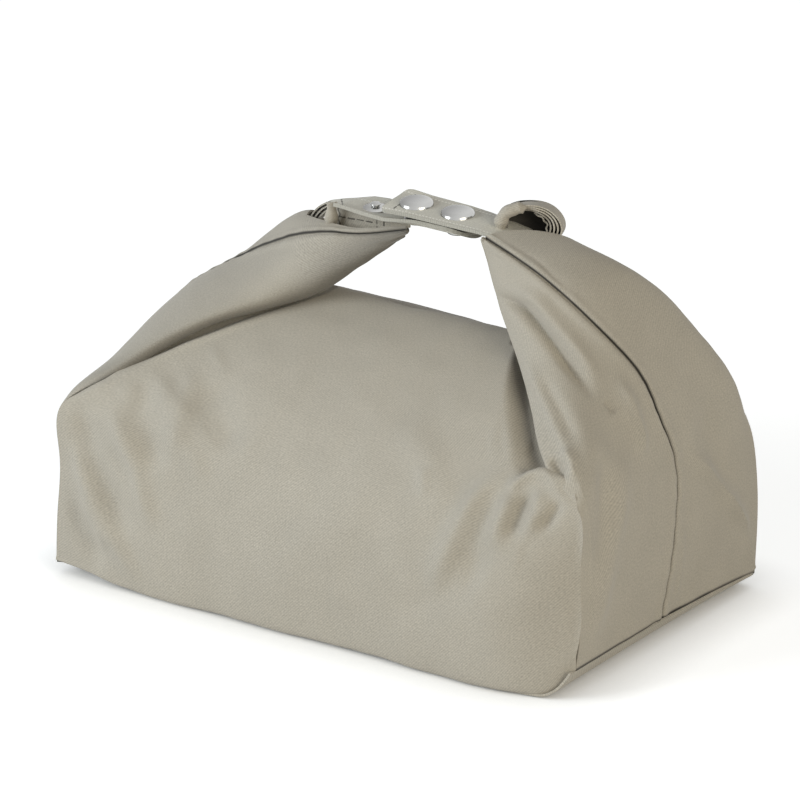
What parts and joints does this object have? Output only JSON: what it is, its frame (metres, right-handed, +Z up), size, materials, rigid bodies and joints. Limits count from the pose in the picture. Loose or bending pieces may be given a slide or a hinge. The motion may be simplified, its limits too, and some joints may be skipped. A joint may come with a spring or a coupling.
{
  "type": "insulated lunch bag",
  "caption": "Soft box-bottomed insulated lunch bag with a rolled mouth whose two drawn-up ends snap together as a carrying handle.",
  "frame": {"origin": "middle of the flat base, on the surface that the bag stands on", "axes": "+X to the right along the bag's length, +Y to the back, +Z up"},
  "size_m": [0.24, 0.145, 0.1696],
  "materials": {
    "shell_cloth": "matt greige nylon twill with a soft sheen",
    "strap_cloth": "matt greige nylon twill, doubled and topstitched",
    "foam": "white closed-cell foam",
    "lining_film": "silver-faced insulating film",
    "snap_metal": "polished nickel-chrome"
  },
  "bodies": {
    "body": {"outer_tub": "shell_cloth", "lining_tub": "lining_film", "foam_front": "foam", "foam_back": "foam", "foam_left": "foam", "foam_right": "foam", "foam_base": "foam"},
    "front_flap": {"front_flap_outer": "shell_cloth", "front_flap_foam": "foam", "front_flap_lining": "lining_film"},
    "back_flap": {"back_flap_outer": "shell_cloth", "back_flap_foam": "foam", "back_flap_lining": "lining_film", "mouth_roll": "shell_cloth"},
    "left_arm": {"left_arm_outer": "shell_cloth", "left_arm_lining": "lining_film", "left_roll": "shell_cloth"},
    "right_arm": {"right_arm_outer": "shell_cloth", "right_arm_lining": "lining_film", "right_roll": "shell_cloth"},
    "left_strap": {"left_strap": "strap_cloth", "left_snap_stud_1": "snap_metal", "left_snap_stud_2": "snap_metal", "left_snap_stud_3": "snap_metal", "left_snap_rivet_1": "snap_metal", "left_snap_rivet_2": "snap_metal", "left_snap_rivet_3": "snap_metal"},
    "right_strap": {"right_strap": "strap_cloth", "right_snap_cap_1": "snap_metal", "right_snap_cap_2": "snap_metal", "right_snap_socket_1": "snap_metal", "right_snap_socket_2": "snap_metal"}
  },
  "joints": [
    {"name": "right_arm_open", "type": "hinge", "parent": "body", "child": "right_arm", "pos_m": [0.1185, 0, 0.075], "axis": [0, 1, 0], "range_deg": [0, 40]},
    {"name": "right_strap_lift", "type": "hinge", "parent": "right_arm", "child": "right_strap", "pos_m": [0.0465, 0, 0.1635], "axis": [0, 1, 0], "range_deg": [0, 85]},
    {"name": "left_arm_open", "type": "hinge", "parent": "body", "child": "left_arm", "pos_m": [-0.1185, 0, 0.075], "axis": [0, 1, 0], "range_deg": [-20, 0]},
    {"name": "left_strap_droop", "type": "hinge", "parent": "left_arm", "child": "left_strap", "pos_m": [-0.0453, 0, 0.154], "axis": [0, 1, 0], "range_deg": [0, 40]},
    {"name": "front_flap_open", "type": "hinge", "parent": "body", "child": "front_flap", "pos_m": [0, -0.068, 0.075], "axis": [1, 0, 0], "range_deg": [0, 18]},
    {"name": "back_flap_open", "type": "hinge", "parent": "body", "child": "back_flap", "pos_m": [0, 0.068, 0.075], "axis": [1, 0, 0], "range_deg": [-18, 0]}
  ],
  "couplings": [
    {"joint": "left_arm_open", "follows": "right_arm_open", "ratio": -0.5},
    {"joint": "left_strap_droop", "follows": "right_arm_open", "ratio": 1},
    {"joint": "front_flap_open", "follows": "right_arm_open", "ratio": 0.45},
    {"joint": "back_flap_open", "follows": "right_arm_open", "ratio": -0.45}
  ]
}
